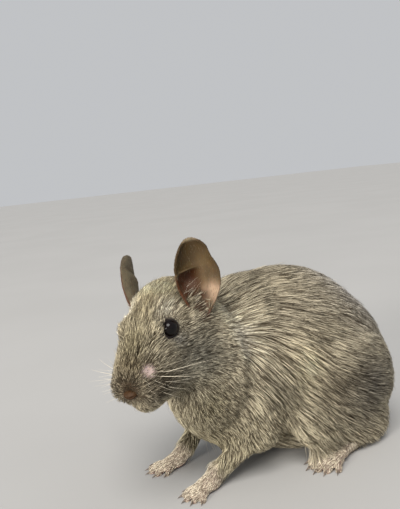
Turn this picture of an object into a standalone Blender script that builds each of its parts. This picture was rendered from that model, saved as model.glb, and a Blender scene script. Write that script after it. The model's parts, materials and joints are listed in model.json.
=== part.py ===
"""A degu crouched on all four feet, life size, its head turned a little to its left.

The solids follow the outside of the coat. The animal looks along -Y, its left side is at +X,
and it rests on the floor, z = 0, on its soles, its belly and its tail.
"""

import math
from collections import namedtuple

import bmesh
import bpy
from mathutils import Matrix, Vector

# Sizes and places in metres.
MM = 0.001
GAP = 0.3 * MM  # left open between neighbouring pieces

# The trunk, from the rump to inside the head. Each section is an egg shape across the body.
Section = namedtuple("Section", "name y top bottom half_width widest sway")
TRUNK = (
    Section("rump", 56.0, 21.0, 21.0, 0.0, 21.0, 0.0),
    Section("seat", 54.6, 37.0, 9.0, 14.5, 22.0, 0.0),
    Section("hips", 47.3, 50.8, 3.0, 23.4, 24.0, 0.0),
    Section("croup", 36.5, 62.2, -0.2, 29.0, 27.0, 0.0),
    Section("loin", 24.0, 71.0, -0.8, 31.0, 29.0, 0.0),
    Section("back", 9.5, 74.2, -0.2, 30.2, 32.0, 0.0),
    Section("ribs", -6.0, 74.6, 4.0, 28.8, 35.0, 0.0),
    Section("withers", -18.0, 72.2, 7.0, 27.2, 37.0, 0.0),
    Section("shoulders", -28.0, 70.3, 10.5, 25.0, 40.0, 1.0),
    Section("neck", -36.5, 70.0, 15.5, 21.8, 43.0, 2.6),
    Section("throat", -43.0, 67.5, 25.0, 16.5, 46.0, 4.6),
    Section("skull", -49.5, 48.0, 48.0, 0.0, 48.0, 6.0),
)

# The head, in its own frame: the poll, midway between the ear roots, is its origin, it looks
# along -Y and is level. The bend of the neck then turns it.
POLL = Vector((6.0, -44.1, 70.2)) * MM
HEAD_TURN = math.radians(32.5)  # to its left
HEAD_DROP = math.radians(16)  # nose down
HEAD_LEAN = math.radians(-2)  # right side down
HEAD = (
    Section("nose", -35.4, -14.0, -14.0, 0.0, -14.0, 0.0),
    Section("lips", -34.4, -9.2, -18.8, 5.6, -14.0, 0.0),
    Section("pads", -31.0, -5.4, -22.0, 8.6, -14.5, 0.0),
    Section("muzzle", -25.5, -1.6, -25.0, 10.3, -15.0, 0.0),
    Section("bridge", -19.0, 2.4, -27.0, 11.7, -14.0, 0.0),
    Section("brow", -12.0, 5.8, -29.0, 13.4, -12.5, 0.0),
    Section("cheeks", -4.0, 7.7, -30.5, 15.8, -12.0, 0.0),
    Section("crown", 4.0, 7.4, -30.5, 16.8, -12.0, 0.0),
    Section("nape", 12.0, 3.5, -27.0, 15.5, -12.0, 0.0),
    Section("axis", 18.0, -4.0, -21.0, 10.0, -12.0, 0.0),
    Section("inside", 20.5, -12.0, -12.0, 0.0, -12.0, 0.0),
)

# Rounded masses that swell the two lofts: centre, radii, turns about X, Y and Z. Sides mirror.
Mass = namedtuple("Mass", "name centre radii turns")
HEAD_MASSES = (
    Mass("jaw_muscle", (9.0, -6.0, -17.0), (8.2, 12.0, 11.0), (20, 0, 0)),
    Mass("whisker_pad", (4.9, -30.3, -15.2), (4.7, 5.2, 5.2), (0, 0, 0)),
    Mass("brow_ridge", (7.0, -15.6, -1.2), (3.0, 6.5, 4.4), (-25, 0, 0)),
)
CHIN = Mass("chin", (0.0, -27.0, -22.8), (4.6, 6.0, 3.6), (-15, 0, 0))
BODY_MASSES = (
    Mass("haunch", (17.5, 21.0, 28.5), (16.0, 26.5, 26.0), (-8, 0, 0)),
    Mass("knee", (22.0, 6.0, 19.5), (9.0, 14.0, 15.0), (25, 0, 0)),
    Mass("heel_fur", (20.0, 29.0, 10.0), (9.5, 15.0, 10.5), (0, 0, 0)),
    Mass("shoulder", (17.0, -16.0, 38.0), (10.0, 15.0, 20.0), (15, 0, 0)),
    Mass("elbow", (17.5, -17.0, 19.0), (6.5, 9.0, 10.0), (-25, 0, 0)),
)
WRIST = Vector((12.3, -34.0, 6.0)) * MM
FOREARM_RADIUS = 6.4 * MM
WRIST_RADIUS = 3.7 * MM

# The eyes, as far out and as high as the head's frame has them.
EYE_RADIUS = 3.2 * MM
EYE_CENTRE = Vector((7.85, -14.8, -2.3)) * MM

# The ears: a thin cup, rolled tight at its root and almost flat at its tip.
EAR_HEIGHT = 25.0 * MM
EAR_HALF_WIDTH = 8.7 * MM
EAR_WALL = 1.1 * MM
EAR_ROOT = Vector((11.2, 1.2, -3.0)) * MM
# Degrees outwards, backwards, and turned out.
EAR_SET = {"left": (12, -1, 50), "right": (50, 40, 34)}

# The feet. A toe is how far it fans outwards in degrees, its length and its radius.
PALM_CENTRE = Vector((12.6, -38.6, 2.3)) * MM
PALM_RADII = Vector((3.6, 5.4, 2.9)) * MM
PALM_TURN = 6  # degrees outwards
PALM_SPREAD = 4.2  # from the middle toe's root to a root at 90 degrees
FORE_TOES = ((-34, 4.4, 0.8), (-14, 6.6, 0.95), (3, 7.4, 1.0), (19, 6.8, 0.95), (38, 5.2, 0.9))
HIND_TOES = ((-24, 5.8, 1.1), (-10, 8.4, 1.25), (1, 9.0, 1.3), (12, 8.4, 1.25), (26, 6.0, 1.1))
HIND_HEEL = Vector((20.5, 33.5, 3.6)) * MM
HIND_BALL = Vector((25.5, 11.0, 3.0)) * MM
BALL_RADII = Vector((5.0, 5.6, 2.9)) * MM
BALL_SPREAD = 0.153 * MM  # for each degree that a toe fans
TOE_ROOT_RISE = 2.0 * MM

# The tail lies on the floor round the right haunch: straight out of the rump, then one arc.
TAIL_ROOT = Vector((0.0, 46.0, 15.0)) * MM
TAIL_KNOTS = (
    (-2, 57, 8),
    (-13, 68, 3.2),
    (-31, 73, 3.0),
    (-47, 65, 2.8),
    (-56, 49, 3.0),
    (-57, 30, 3.2),
)
TAIL_ROOT_RADIUS = 6.0 * MM
TAIL_RADIUS = 2.9 * MM
BRUSH_RADIUS = 5.2 * MM
BRUSH_START = 0.56  # share of the tail's length
FLAT_DEPTH = 0.5 * MM  # how far round things sink past the floor before they are cut flat

# Where the melted body is parted. The head's cells and plane are in the head's frame.
HEAD_CUT, HEAD_CUT_WAY = Vector((0, 12, 0)) * MM, Vector((0, -0.88, 0.48))
NECK_CUT, NECK_CUT_WAY = Vector((0, -23, 50)) * MM, Vector((0.12, -1, 0.6))
NOSE_CELL = Mass("nose_cell", (0.0, -34.7, -14.4), (3.3, 3.3, 2.7), (0, 0, 0))
HAUNCH_CELL = Mass("haunch_cell", (31.0, 18.0, 19.0), (19.0, 35.0, 36.0), (-12, 0, 0))
FORE_CELL = Mass("fore_cell", (22.0, -28.0, 12.0), (16.0, 22.0, 25.0), (20, 0, 0))
CELL_RINGS = 8
NOSE_RINGS = 6
EYE_RINGS = 8

SECTION_SIDES = 40
VOXEL = 0.95 * MM
BODY_TRIANGLES = 2850
PAW_VOXEL = 0.42 * MM
FORE_TRIANGLES = 330
HIND_TRIANGLES = 360
EAR_TRIANGLES = 300

HEAD_FRAME = (
    Matrix.Translation(POLL)
    @ Matrix.Rotation(HEAD_TURN, 4, "Z")
    @ Matrix.Rotation(HEAD_DROP, 4, "X")
    @ Matrix.Rotation(HEAD_LEAN, 4, "Y")
)
SIDES = {"left": 1, "right": -1}


def clear_scene():
    for thing in list(bpy.data.objects):
        bpy.data.objects.remove(thing)


def finish(name, colour, roughness):
    """A material for one kind of surface, with its colour in linear light."""
    material = bpy.data.materials.get(name) or bpy.data.materials.new(name)
    material.use_nodes = True
    shader = material.node_tree.nodes["Principled BSDF"]
    shader.inputs["Base Color"].default_value = (*colour, 1)
    shader.inputs["Roughness"].default_value = roughness
    shader.inputs["Metallic"].default_value = 0
    return material


def add_object(name, mesh):
    made = bpy.data.objects.new(name, mesh)
    bpy.context.scene.collection.objects.link(made)
    return made


def apply_modifiers(thing):
    """Keeps what the modifiers make as the object's own mesh."""
    bpy.context.view_layer.update()
    graph = bpy.context.evaluated_depsgraph_get()
    mesh = bpy.data.meshes.new_from_object(thing.evaluated_get(graph))
    thing.modifiers.clear()
    thing.data = mesh
    return thing


def through(knots, steps):
    """Points on a smooth curve through the knots, which may have any number of numbers each."""
    ends = [[2 * a - b for a, b in zip(knots[0], knots[1])]]
    tail = [[2 * a - b for a, b in zip(knots[-1], knots[-2])]]
    row = ends + [list(knot) for knot in knots] + tail
    points = []
    for before, here, after, beyond in zip(row, row[1:], row[2:], row[3:]):
        for step in range(steps):
            t = step / steps
            points.append(
                [
                    b
                    + 0.5 * (c - a) * t
                    + 0.5 * (2 * a - 5 * b + 4 * c - d) * t**2
                    + 0.5 * (3 * b - a - 3 * c + d) * t**3
                    for a, b, c, d in zip(before, here, after, beyond)
                ]
            )
    return points + [list(knots[-1])]


def closed_skin(name, rings):
    """One closed mesh through rings of points. A ring of one point is a pole."""
    mesh = bmesh.new()
    loops = [[mesh.verts.new(point) for point in ring] for ring in rings]
    for near, far in zip(loops, loops[1:]):
        count = max(len(near), len(far))
        for i in range(count):
            j = (i + 1) % count
            corners = [near[i % len(near)], near[j % len(near)], far[j % len(far)], far[i % len(far)]]
            mesh.faces.new(list(dict.fromkeys(corners)))
    for loop in (loops[0], loops[-1]):
        if len(loop) > 1:
            mesh.faces.new(loop)
    bmesh.ops.recalc_face_normals(mesh, faces=mesh.faces)
    data = bpy.data.meshes.new(name)
    mesh.to_mesh(data)
    mesh.free()
    return add_object(name, data)


def loft(name, sections):
    """An egg-shaped body through the sections, whose ends close to a point."""
    rows = [section[1:] for section in sections]
    rings = []
    for y, top, bottom, half_width, widest, sway in through(rows, 4):
        half_width = max(half_width, 0.0)
        if half_width < 0.05:
            rings.append([Vector((sway, y, widest)) * MM])
            continue
        ring = []
        for side in range(SECTION_SIDES):
            turn = math.tau * side / SECTION_SIDES
            rise = math.sin(turn)
            height = widest + rise * (top - widest if rise > 0 else widest - bottom)
            ring.append(Vector((sway + half_width * math.cos(turn), y, height)) * MM)
        rings.append(ring)
    return closed_skin(name, rings)


def ellipsoid(name, centre, radii, turns=(0, 0, 0), rings=20):
    mesh = bmesh.new()
    bmesh.ops.create_uvsphere(mesh, u_segments=2 * rings, v_segments=rings, radius=1)
    place = Matrix.Translation(centre)
    for axis, turn in zip("ZYX", reversed(turns)):
        place = place @ Matrix.Rotation(math.radians(turn), 4, axis)
    mesh.transform(place @ Matrix.Diagonal((*radii, 1)))
    data = bpy.data.meshes.new(name)
    mesh.to_mesh(data)
    mesh.free()
    return add_object(name, data)


def swollen(masses, frame=Matrix.Identity(4)):
    """Each mass on both sides of the animal, in the frame it is measured in."""
    made = []
    for side, sign in SIDES.items():
        for mass in masses:
            x, y, z = mass.centre
            turn_x, turn_y, turn_z = mass.turns
            lump = ellipsoid(
                f"{mass.name}_{side}",
                Vector((sign * x, y, z)) * MM,
                Vector(mass.radii) * MM,
                (turn_x, sign * turn_y, sign * turn_z),
            )
            lump.data.transform(frame)
            made.append(lump)
    return made


def tube(name, points, radii, sides=12):
    """A round, closed body along the points, with domed ends. Each point has its own radius."""
    points = [Vector(point) for point in points]
    rings = []
    last = len(points) - 1
    for i, (point, radius) in enumerate(zip(points, radii)):
        along = (points[min(i + 1, last)] - points[max(i - 1, 0)]).normalized()
        across = along.cross(Vector((0, 0, 1)) if abs(along.z) < 0.9 else Vector((0, 1, 0))).normalized()
        up = across.cross(along)
        if i in (0, last):
            out = -along if i == 0 else along
            dome = [(0.0, 1.0), (0.45, 0.89), (0.8, 0.6)]
            caps = [
                ring_around(point + out * radius * rise, across, up, radius * size, sides)
                for rise, size in dome
            ]
            caps.append([point + out * radius])
            rings.extend(reversed(caps) if i == 0 else caps)
        else:
            rings.append(ring_around(point, across, up, radius, sides))
    return closed_skin(name, rings)


def ring_around(centre, across, up, radius, sides):
    turns = [math.tau * side / sides for side in range(sides)]
    return [centre + (across * math.cos(t) + up * math.sin(t)) * radius for t in turns]


def joined(name, things):
    """The things as one object, their meshes overlapping and not yet fused."""
    mesh = bmesh.new()
    for thing in things:
        mesh.from_mesh(thing.data)
        bpy.data.objects.remove(thing)
    data = bpy.data.meshes.new(name)
    mesh.to_mesh(data)
    mesh.free()
    return add_object(name, data)


def fused(name, things, voxel, smoothing, triangles):
    """The things melted into one closed body of about that many triangles."""
    body = joined(name, things)
    remesh = body.modifiers.new("melt", "REMESH")
    remesh.mode = "VOXEL"
    remesh.voxel_size = voxel
    smooth = body.modifiers.new("soften", "SMOOTH")
    smooth.factor = 0.5
    smooth.iterations = smoothing
    apply_modifiers(body)
    thin_out(body, triangles)
    return body


def thin_out(body, triangles):
    """Takes the mesh down to about that many triangles."""
    body.data.calc_loop_triangles()
    coarse = body.modifiers.new("coarse", "DECIMATE")
    coarse.ratio = min(1.0, triangles / len(body.data.loop_triangles))
    return apply_modifiers(body)


def grown(thing, by):
    """A copy of the thing, larger by that much all round, to cut its neighbour with."""
    copy = add_object(thing.name + "_grown", thing.data.copy())
    push = copy.modifiers.new("push", "DISPLACE")
    push.strength = by
    push.mid_level = 0
    return apply_modifiers(copy)


def cut(thing, cutter, operation="DIFFERENCE", keep_cutter=False):
    """One Boolean, after which only the largest body is kept."""
    knife = thing.modifiers.new("knife", "BOOLEAN")
    knife.operation = operation
    knife.object = cutter
    knife.solver = "EXACT"
    apply_modifiers(thing)
    keep_largest(thing)
    if not keep_cutter:
        bpy.data.objects.remove(cutter)
    return thing


def keep_largest(thing):
    """Drops the crumbs that a cut can leave."""
    mesh = bmesh.new()
    mesh.from_mesh(thing.data)
    left = set(mesh.verts)
    islands = []
    while left:
        front = [left.pop()]
        island = set(front)
        while front:
            near = {edge.other_vert(vert) for vert in front for edge in vert.link_edges} - island
            island |= near
            left -= near
            front = list(near)
        islands.append(island)
    islands.sort(key=len)
    for crumb in islands[:-1]:
        bmesh.ops.delete(mesh, geom=list(crumb), context="VERTS")
    mesh.to_mesh(thing.data)
    mesh.free()


def block(name, low, high):
    """A box between two corners."""
    mesh = bmesh.new()
    bmesh.ops.create_cube(mesh, size=1)
    low, high = Vector(low), Vector(high)
    mesh.transform(Matrix.Translation((low + high) / 2) @ Matrix.Diagonal((*(high - low), 1)))
    data = bpy.data.meshes.new(name)
    mesh.to_mesh(data)
    mesh.free()
    return add_object(name, data)


def stand_flat(thing):
    """Cuts away what would be under the floor, which leaves a small flat to rest on."""
    floor = block("floor_cutter", Vector((-300, -300, -60)) * MM, Vector((300, 300, 0)) * MM)
    return cut(thing, floor)


def split(body, name, centre, forward):
    """Cuts a piece off the body where a plane crosses it, and leaves a thin gap between them."""
    turn = Vector(forward).normalized().to_track_quat("Z", "Y").to_matrix().to_4x4()
    reach = 200 * MM
    ahead = block("ahead", (-reach, -reach, GAP / 2), (reach, reach, reach))
    behind = block("behind", (-reach, -reach, -GAP / 2), (reach, reach, reach))
    for side in (ahead, behind):
        side.data.transform(Matrix.Translation(centre) @ turn)
    piece = add_object(name, body.data.copy())
    cut(piece, ahead, "INTERSECT")
    cut(body, behind)
    return piece


def take_out(body, name, cell):
    """Cuts a piece off the body inside the cell, and leaves a thin gap between them."""
    piece = add_object(name, body.data.copy())
    wide = grown(cell, GAP)
    cut(piece, cell, "INTERSECT")
    cut(body, wide)
    return piece


def cell(mass, sign, rings, frame=Matrix.Identity(4)):
    """An egg-shaped cutter on one side of the animal. Its turns are about X alone."""
    x, y, z = mass.centre
    centre = frame @ (Vector((sign * x, y, z)) * MM)
    return ellipsoid(mass.name, centre, Vector(mass.radii) * MM, mass.turns, rings)


def whole_body():
    """Trunk, head and limbs melted together, before they are parted."""
    head = loft("head_form", HEAD)
    chin = ellipsoid("chin", Vector(CHIN.centre) * MM, Vector(CHIN.radii) * MM, CHIN.turns)
    for thing in (head, chin):
        thing.data.transform(HEAD_FRAME)
    forms = [loft("trunk_form", TRUNK), head, chin]
    forms += swollen(HEAD_MASSES, HEAD_FRAME) + swollen(BODY_MASSES)
    elbow = next(mass for mass in BODY_MASSES if mass.name == "elbow")
    for side, sign in SIDES.items():
        mirror = Vector((sign, 1, 1))
        run = through([Vector(elbow.centre) * MM * mirror, WRIST * mirror], 6)
        radii = [FOREARM_RADIUS + (WRIST_RADIUS - FOREARM_RADIUS) * i / 6 for i in range(7)]
        forms.append(tube(f"forearm_{side}", run, radii, 16))
    return fused("trunk", forms, VOXEL, 14, BODY_TRIANGLES)


def toe(name, root, heading, length, radius):
    """A toe that arches up from its root and comes down to its pad, with the claw beyond it."""
    ahead = Vector((math.sin(heading), -math.cos(heading), 0))
    rise = Vector((0, 0, 1))
    knuckle = root + ahead * length * 0.45 + rise * radius * 0.5
    pad = root + ahead * length + rise * (radius - root.z)
    claw = pad + ahead * radius * 2.1 + rise * radius * 0.1
    finger = tube(name, [root, knuckle, pad], [radius * 1.1, radius, radius * 1.05], 12)
    nail = tube(
        name + "_claw",
        [pad + rise * radius * 0.35, pad + ahead * radius * 1.2 + rise * radius * 0.5, claw],
        [radius * 0.55, radius * 0.45, radius * 0.3],
        8,
    )
    return [finger, nail]


def fore_paw(side, sign):
    """The small front foot: a low palm and five short toes, the inner one a stub."""
    mirror = Vector((sign, 1, 1))
    palm_centre = PALM_CENTRE * mirror
    palm = ellipsoid("palm", palm_centre, PALM_RADII)
    forms = [palm, tube("wrist", [WRIST * mirror, palm_centre], [3.5 * MM, 2.9 * MM])]
    for number, (fan, length, radius) in enumerate(FORE_TOES):
        heading = sign * math.radians(fan + PALM_TURN)
        across = math.sin(math.radians(fan)) * PALM_SPREAD
        root = palm_centre + Vector((sign * across, -2.6, -1.0)) * MM
        forms += toe(f"toe_{number}", root, heading, length * MM, radius * MM)
    return paw(f"fore_paw_{side}", forms, FORE_TRIANGLES)


def hind_foot(side, sign):
    """The long hind foot, flat on the floor from the heel to five toes."""
    mirror = Vector((sign, 1, 1))
    heel, ball = HIND_HEEL * mirror, HIND_BALL * mirror
    heading = math.atan2(ball.x - heel.x, heel.y - ball.y)
    forms = [
        tube("sole", [heel, (heel + ball) / 2, ball], [3.4 * MM, 3.3 * MM, 3.5 * MM], 16),
        ellipsoid("ball", ball, BALL_RADII, (0, 0, math.degrees(heading))),
    ]
    for number, (fan, length, radius) in enumerate(HIND_TOES):
        turn = heading + math.radians(fan) * sign
        across = Vector((math.cos(heading), math.sin(heading), 0)) * sign * fan * BALL_SPREAD
        root = ball + across + Vector((math.sin(heading), -math.cos(heading), 0)) * 2.6 * MM
        root.z = TOE_ROOT_RISE
        forms += toe(f"toe_{number}", root, turn, length * MM, radius * MM)
    return paw(f"hind_foot_{side}", forms, HIND_TRIANGLES)


def paw(name, forms, triangles):
    """Melts a foot together and sets its pads flat on the floor."""
    foot = fused(name, forms, PAW_VOXEL, 3, triangles)
    lowest = min(vert.co.z for vert in foot.data.vertices)
    foot.data.transform(Matrix.Translation((0, 0, -lowest - FLAT_DEPTH * 0.6)))
    return stand_flat(foot)


def ear_outline(v):
    """Half the ear's width at a share of its height, as a share of its greatest half width."""
    root_width, fullest = 0.62, 0.5
    if v < fullest:
        return root_width + (1 - root_width) * math.sin(math.pi / 2 * v / fullest)
    return math.sqrt(max(0.0, 1 - ((v - fullest) / (1 - fullest)) ** 2))


def ear_point(u, v):
    """A point of the ear's sheet. u runs from its front edge, -1, to its rear edge, 1."""
    wide = EAR_HALF_WIDTH * ear_outline(v)
    rear_notch = 1.2 * MM * math.exp(-(((v - 0.74) / 0.13) ** 2)) * max(u, 0) ** 2
    rear_lobe = 0.5 * MM * math.exp(-(((v - 0.32) / 0.2) ** 2)) * max(u, 0) ** 2
    roll = math.radians(26 + 84 * (1 - v) ** 2.2)
    bend = wide / roll
    lean_back = 3.2 * MM * v**2
    return Vector(
        (
            bend * math.sin(roll * u) + rear_lobe - rear_notch,
            lean_back - bend * (1 - math.cos(roll * u)) * 0.9,
            EAR_HEIGHT * v,
        )
    )


def ear(side, sign, head):
    """The thin cup of the outer ear, ended where it meets the head."""
    rows, columns = 16, 16
    mesh = bmesh.new()
    sheet = []
    for row in range(rows + 1):
        v = -0.12 + 1.12 * (1 - (1 - row / rows) ** 1.35)
        if row == rows:
            tip = mesh.verts.new(ear_point(0, 1))
            sheet.append([tip] * (columns + 1))
            continue
        sheet.append([mesh.verts.new(ear_point(2 * c / columns - 1, v)) for c in range(columns + 1)])
    for low, high in zip(sheet, sheet[1:]):
        for c in range(columns):
            corners = [low[c], low[c + 1], high[c + 1], high[c]]
            mesh.faces.new(list(dict.fromkeys(corners)))
    bmesh.ops.recalc_face_normals(mesh, faces=mesh.faces)
    splay, back, facing = (math.radians(turn) for turn in EAR_SET[side])
    place = Matrix.Rotation(splay, 4, "Y") @ Matrix.Rotation(-back, 4, "X")
    place = place @ Matrix.Rotation(facing, 4, "Z")
    mesh.transform(Matrix.Translation(EAR_ROOT) @ place)
    mesh.transform(Matrix.Diagonal((sign, 1, 1, 1)))
    mesh.transform(HEAD_FRAME)
    bmesh.ops.recalc_face_normals(mesh, faces=mesh.faces)
    data = bpy.data.meshes.new(f"ear_{side}")
    mesh.to_mesh(data)
    mesh.free()
    cup = add_object(f"ear_{side}", data)
    wall = cup.modifiers.new("wall", "SOLIDIFY")
    wall.thickness = EAR_WALL
    wall.offset = 0
    wall.use_even_offset = True
    apply_modifiers(cup)
    fused_cup = cup.modifiers.new("melt", "REMESH")
    fused_cup.mode = "VOXEL"
    fused_cup.voxel_size = PAW_VOXEL
    apply_modifiers(cup)
    thin_out(cup, EAR_TRIANGLES)
    return cut(cup, grown(head, GAP))


def eye(side, sign, head):
    """The eyeball, and the socket it sits in."""
    centre = EYE_CENTRE * Vector((sign, 1, 1))
    ball = ellipsoid(f"eye_{side}", HEAD_FRAME @ centre, (EYE_RADIUS,) * 3, rings=EYE_RINGS)
    cut(head, grown(ball, GAP))
    return ball


def tail():
    """The stem with its short hair, and the black brush on its last half."""
    knots = [TAIL_ROOT] + [Vector(knot) * MM for knot in TAIL_KNOTS]
    run = [Vector(point) for point in through(knots, 4)]
    last = len(run) - 1
    radii = []
    for i, point in enumerate(run):
        share = i / last
        thick = TAIL_RADIUS + (TAIL_ROOT_RADIUS - TAIL_RADIUS) * max(0.0, 1 - share / 0.3) ** 1.6
        if share > BRUSH_START:
            along = (share - BRUSH_START) / (1 - BRUSH_START)
            thick += (BRUSH_RADIUS - TAIL_RADIUS) * math.sin(math.pi * along**0.8) ** 0.9
            thick *= 1 - 0.55 * along**3
        radii.append(thick)
        if share > 0.2:
            point.z = thick - FLAT_DEPTH
    start = round(BRUSH_START * last)
    stem = stand_flat(tube("tail", run[: start + 1], radii[: start + 1], 12))
    brush = stand_flat(tube("tail_brush", run[start:], radii[start:], 12))
    cut(stem, grown(brush, GAP))
    return stem, brush


def main():
    clear_scene()
    agouti = finish("agouti_coat", (0.23, 0.19, 0.13), 0.9)
    short_fur = finish("foot_fur", (0.30, 0.25, 0.19), 0.85)
    ear_skin = finish("ear_skin", (0.16, 0.10, 0.07), 0.6)
    dark_brush = finish("tail_brush", (0.03, 0.025, 0.02), 0.85)
    eye_gloss = finish("eye_gloss", (0.01, 0.008, 0.008), 0.08)
    nose_skin = finish("nose_skin", (0.12, 0.07, 0.05), 0.6)

    body = stand_flat(whole_body())
    stem, brush = tail()
    cut(stem, grown(body, GAP))
    feet = [fore_paw(side, sign) for side, sign in SIDES.items()]
    feet += [hind_foot(side, sign) for side, sign in SIDES.items()]
    for foot in feet:
        cut(body, grown(foot, GAP))

    ears = [ear(side, sign, body) for side, sign in SIDES.items()]
    eyes = [eye(side, sign, body) for side, sign in SIDES.items()]

    head = split(body, "head", HEAD_FRAME @ HEAD_CUT, HEAD_FRAME.to_3x3() @ HEAD_CUT_WAY)
    neck = split(body, "neck", NECK_CUT, NECK_CUT_WAY)
    nose = take_out(head, "nose", cell(NOSE_CELL, 1, NOSE_RINGS, HEAD_FRAME))

    furry = [head, neck, body, stem]
    for side, sign in SIDES.items():
        furry.append(take_out(body, f"hind_leg_{side}", cell(HAUNCH_CELL, sign, CELL_RINGS)))
        furry.append(take_out(body, f"fore_leg_{side}", cell(FORE_CELL, sign, CELL_RINGS)))

    for things, material in (
        (furry, agouti),
        (feet, short_fur),
        (ears, ear_skin),
        (eyes, eye_gloss),
        ([brush], dark_brush),
        ([nose], nose_skin),
    ):
        for thing in things:
            thing.data.materials.clear()
            thing.data.materials.append(material)
            thing.data.shade_smooth()
            thing.data.set_sharp_from_angle(angle=math.radians(50))

    settle_origin()


def settle_origin():
    """Puts the origin on the floor under the middle of the model's box."""
    corners = [vert.co for thing in bpy.data.objects for vert in thing.data.vertices]
    middle = [(min(c[i] for c in corners) + max(c[i] for c in corners)) / 2 for i in range(2)]
    for thing in bpy.data.objects:
        thing.data.transform(Matrix.Translation((-middle[0], -middle[1], 0)))


main()
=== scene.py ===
import json
from contextlib import contextmanager
from math import atan2, copysign, cos, exp, pi, radians, sin, sqrt, tau
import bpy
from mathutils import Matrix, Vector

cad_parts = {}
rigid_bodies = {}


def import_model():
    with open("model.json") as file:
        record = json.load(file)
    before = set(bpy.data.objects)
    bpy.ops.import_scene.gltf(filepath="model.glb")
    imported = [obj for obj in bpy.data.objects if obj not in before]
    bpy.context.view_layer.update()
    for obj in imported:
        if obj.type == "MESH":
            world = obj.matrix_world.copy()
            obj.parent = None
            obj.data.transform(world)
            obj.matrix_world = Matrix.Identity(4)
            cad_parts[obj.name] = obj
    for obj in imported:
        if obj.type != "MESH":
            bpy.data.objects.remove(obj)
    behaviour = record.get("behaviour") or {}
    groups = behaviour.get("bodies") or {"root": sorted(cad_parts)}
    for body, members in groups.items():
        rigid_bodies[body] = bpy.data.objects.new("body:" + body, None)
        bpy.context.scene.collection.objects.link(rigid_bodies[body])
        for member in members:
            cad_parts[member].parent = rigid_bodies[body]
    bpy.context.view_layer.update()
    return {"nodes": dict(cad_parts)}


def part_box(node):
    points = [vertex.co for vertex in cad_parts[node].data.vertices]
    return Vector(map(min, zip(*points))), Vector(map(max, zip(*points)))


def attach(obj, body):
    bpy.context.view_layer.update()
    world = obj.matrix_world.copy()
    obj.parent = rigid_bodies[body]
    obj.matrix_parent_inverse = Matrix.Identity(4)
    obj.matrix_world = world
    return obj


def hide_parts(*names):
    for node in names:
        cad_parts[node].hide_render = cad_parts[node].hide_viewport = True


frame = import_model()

from types import SimpleNamespace

import bpy
import numpy as np
from mathutils import Matrix, Vector
from mathutils.bvhtree import BVHTree
from mathutils.kdtree import KDTree

# The body's hide: one closed skin over the head, neck, trunk, legs, feet and tail. The solids are
# melted together and smoothed, and the skin is then drawn in under them by the coat's depth there.
MM = 0.001
COAT_DEPTH = {
    "trunk": 3.0, "neck": 2.9, "head": 1.15, "nose": 0.6, "fore_leg": 1.9, "hind_leg": 2.7, "tail": 1.0,
    "tail_brush": 3.0, "fore_paw": 0.3, "hind_foot": 0.3,
}
OTHER_DEPTH = 0.6
MELT_VOXEL = 0.8 * MM
FLOOR_GAP = 0.03 * MM
SIDES = {"left": 1, "right": -1}


def turned(degrees, axis):
    """A turn about an axis."""
    return Matrix.Rotation(radians(degrees), 4, axis)


# The head's own frame looks along -Y with the poll as its origin, and the eyes say where it is. The
# body's frame is level, with its origin under the middle of the trunk.
EYE_PLACE = Vector((7.85, -14.8, -2.3)) * MM
POLL_PLACE = Vector((6.0, -44.1, 70.2)) * MM  # in the body's frame
head_turn = turned(32.5, "Z") @ turned(16, "X") @ turned(-2, "Y")
eye_middles = {side: sum(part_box(f"eye_{side}"), Vector()) / 2 for side in SIDES}
between_eyes = (eye_middles["left"] + eye_middles["right"]) / 2
poll = between_eyes - head_turn @ Vector((0, EYE_PLACE.y, EYE_PLACE.z))
HEAD = Matrix.Translation(poll) @ head_turn
BODY = Matrix.Translation(poll - POLL_PLACE)


def kind_of(node):
    """A CAD node's name without its side."""
    return node.replace("_left", "").replace("_right", "")


def only(*things):
    """Selects these objects and nothing else, the first one active."""
    if bpy.context.mode != "OBJECT":
        bpy.ops.object.mode_set(mode="OBJECT")
    bpy.ops.object.select_all(action="DESELECT")
    for thing in things:
        thing.select_set(True)
    bpy.context.view_layer.objects.active = things[0]
    return things[0]


def worked(thing, kind, **settings):
    """Gives the object one modifier and applies it."""
    only(thing)
    step = thing.modifiers.new(kind.title(), kind)
    for name, value in settings.items():
        setattr(step, name, value)
    bpy.ops.object.modifier_apply(modifier=step.name)
    return thing


def smooth(thing):
    only(thing)
    bpy.ops.object.shade_smooth()


@contextmanager
def editing(thing, action="SELECT"):
    """Edit mode on one object, with all of it selected or none."""
    only(thing)
    bpy.ops.object.mode_set(mode="EDIT")
    bpy.ops.mesh.select_all(action=action)
    yield
    bpy.ops.object.mode_set(mode="OBJECT")


def one_piece(name, things):
    """Joins the objects into the first of them."""
    whole = only(*things)
    bpy.ops.object.join()
    whole.name = whole.data.name = name
    return whole


def merged_copy(node):
    """A copy of a CAD node whose loose triangles are joined up."""
    copy = frame["nodes"][node].copy()
    copy.data = copy.data.copy()
    copy.parent = None
    for key in list(copy.keys()):
        del copy[key]
    bpy.context.scene.collection.objects.link(copy)
    with editing(copy):
        bpy.ops.mesh.remove_doubles(threshold=0.01 * MM)
    return copy


def rows_of(items, what, width, kind=np.float32):
    """One property of every vertex, edge, triangle or corner, a row for each."""
    flat = np.empty(len(items) * width, kind)
    items.foreach_get(what, flat)
    return flat.reshape(-1, width)


def places_of(thing):
    return rows_of(thing.data.vertices, "co", 3).astype(float)


def normals_of(thing):
    return rows_of(thing.data.vertex_normals, "vector", 3).astype(float)


def edges_of(thing):
    return rows_of(thing.data.edges, "vertices", 2, np.int32)


def put_at(thing, places):
    thing.data.vertices.foreach_set("co", places.astype(np.float32).ravel())
    thing.data.update()


def in_frame(places, where):
    """The places as seen from a frame, in millimetres."""
    turn = np.array(where.inverted())
    return (places @ turn[:3, :3].T + turn[:3, 3]) / MM


def out_of_frame(local, where):
    """Places in a frame, in millimetres, back in the model's own."""
    turn = np.array(where)
    return local * MM @ turn[:3, :3].T + turn[:3, 3]


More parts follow.
